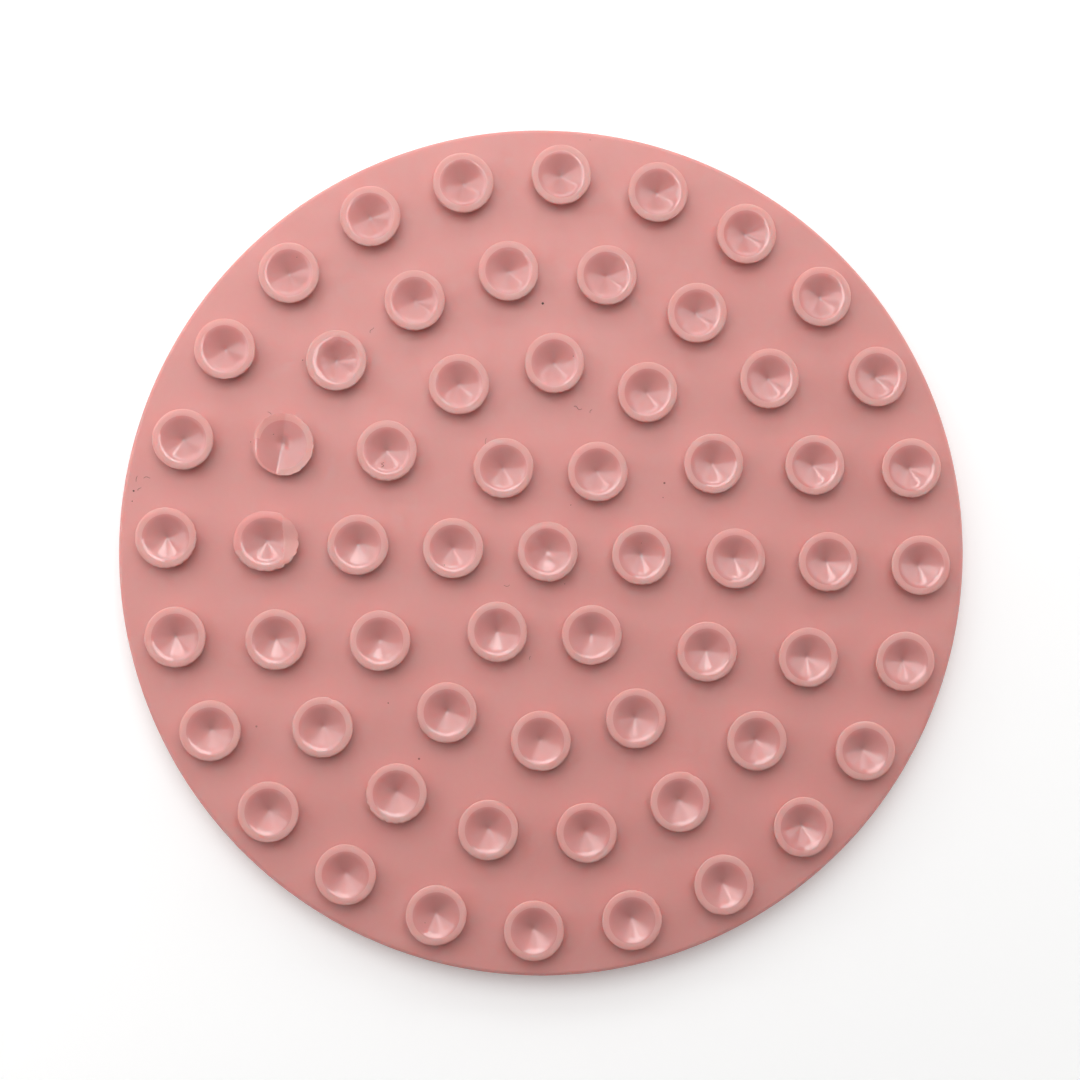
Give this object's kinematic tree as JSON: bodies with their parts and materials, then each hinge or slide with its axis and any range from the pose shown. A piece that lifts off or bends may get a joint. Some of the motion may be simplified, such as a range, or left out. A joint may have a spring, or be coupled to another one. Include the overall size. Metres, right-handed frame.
{
  "type": "silicone cleansing mat",
  "caption": "Round flexible silicone cleansing brush mat: concentric rings of small suction cups on one face hold it to a smooth surface, soft bristles on the other do the scrubbing.",
  "frame": {"origin": "centre of the base, at the level of the bristle tips that the mat lies on", "axes": "+Z along the disc's axis, out of the suction cups; +X along the spoke of cups on which every ring starts"},
  "size_m": [0.24, 0.24, 0.017],
  "materials": {
    "mat_silicone": "satin moulded silicone",
    "cup_silicone": "glossy moulded silicone",
    "lip_silicone": "matte moulded silicone",
    "bristle_silicone": "satin moulded silicone"
  },
  "bodies": {
    "mat": {"mat_disc": "mat_silicone", "cup_neck_centre": "cup_silicone", "cup_necks_ring_1": "cup_silicone", "cup_necks_ring_2": "cup_silicone", "cup_necks_ring_3": "cup_silicone", "cup_necks_ring_4": "cup_silicone", "cup_skirt_centre": "cup_silicone", "cup_skirts_ring_1": "cup_silicone", "cup_skirts_ring_2": "cup_silicone", "cup_skirts_ring_3": "cup_silicone", "cup_skirts_ring_4": "cup_silicone", "bristle_centre": "bristle_silicone", "bristles_bearing": "bristle_silicone", "bristles_ring_01": "bristle_silicone", "bristles_ring_02": "bristle_silicone", "bristles_ring_03": "bristle_silicone", "bristles_ring_04": "bristle_silicone", "bristles_ring_05": "bristle_silicone", "bristles_ring_06": "bristle_silicone", "bristles_ring_07": "bristle_silicone", "bristles_ring_08": "bristle_silicone", "bristles_ring_09": "bristle_silicone", "bristles_ring_10": "bristle_silicone", "bristles_ring_11": "bristle_silicone", "bristles_ring_12": "bristle_silicone", "bristles_ring_13": "bristle_silicone", "bristles_ring_14": "bristle_silicone", "bristles_ring_15": "bristle_silicone", "bristles_ring_16": "bristle_silicone", "bristles_ring_17": "bristle_silicone"},
    "lip_centre": {"cup_lip_centre": "lip_silicone"},
    "lips_ring_1": {"cup_lips_ring_1": "lip_silicone"},
    "lips_ring_2": {"cup_lips_ring_2": "lip_silicone"},
    "lips_ring_3": {"cup_lips_ring_3": "lip_silicone"},
    "lips_ring_4": {"cup_lips_ring_4": "lip_silicone"}
  },
  "joints": [
    {"name": "press_centre", "type": "slide", "parent": "mat", "child": "lip_centre", "axis": [0, 0, -1], "range_m": [0, 0.002], "stiffness_N_per_m": 400, "deforming": ["cup_skirt_centre"]},
    {"name": "press_ring_1", "type": "slide", "parent": "mat", "child": "lips_ring_1", "axis": [0, 0, -1], "range_m": [0, 0.002], "stiffness_N_per_m": 2400, "deforming": ["cup_skirts_ring_1"]},
    {"name": "press_ring_2", "type": "slide", "parent": "mat", "child": "lips_ring_2", "axis": [0, 0, -1], "range_m": [0, 0.002], "stiffness_N_per_m": 4800, "deforming": ["cup_skirts_ring_2"]},
    {"name": "press_ring_3", "type": "slide", "parent": "mat", "child": "lips_ring_3", "axis": [0, 0, -1], "range_m": [0, 0.002], "stiffness_N_per_m": 7200, "deforming": ["cup_skirts_ring_3"]},
    {"name": "press_ring_4", "type": "slide", "parent": "mat", "child": "lips_ring_4", "axis": [0, 0, -1], "range_m": [0, 0.002], "stiffness_N_per_m": 9600, "deforming": ["cup_skirts_ring_4"]}
  ]
}
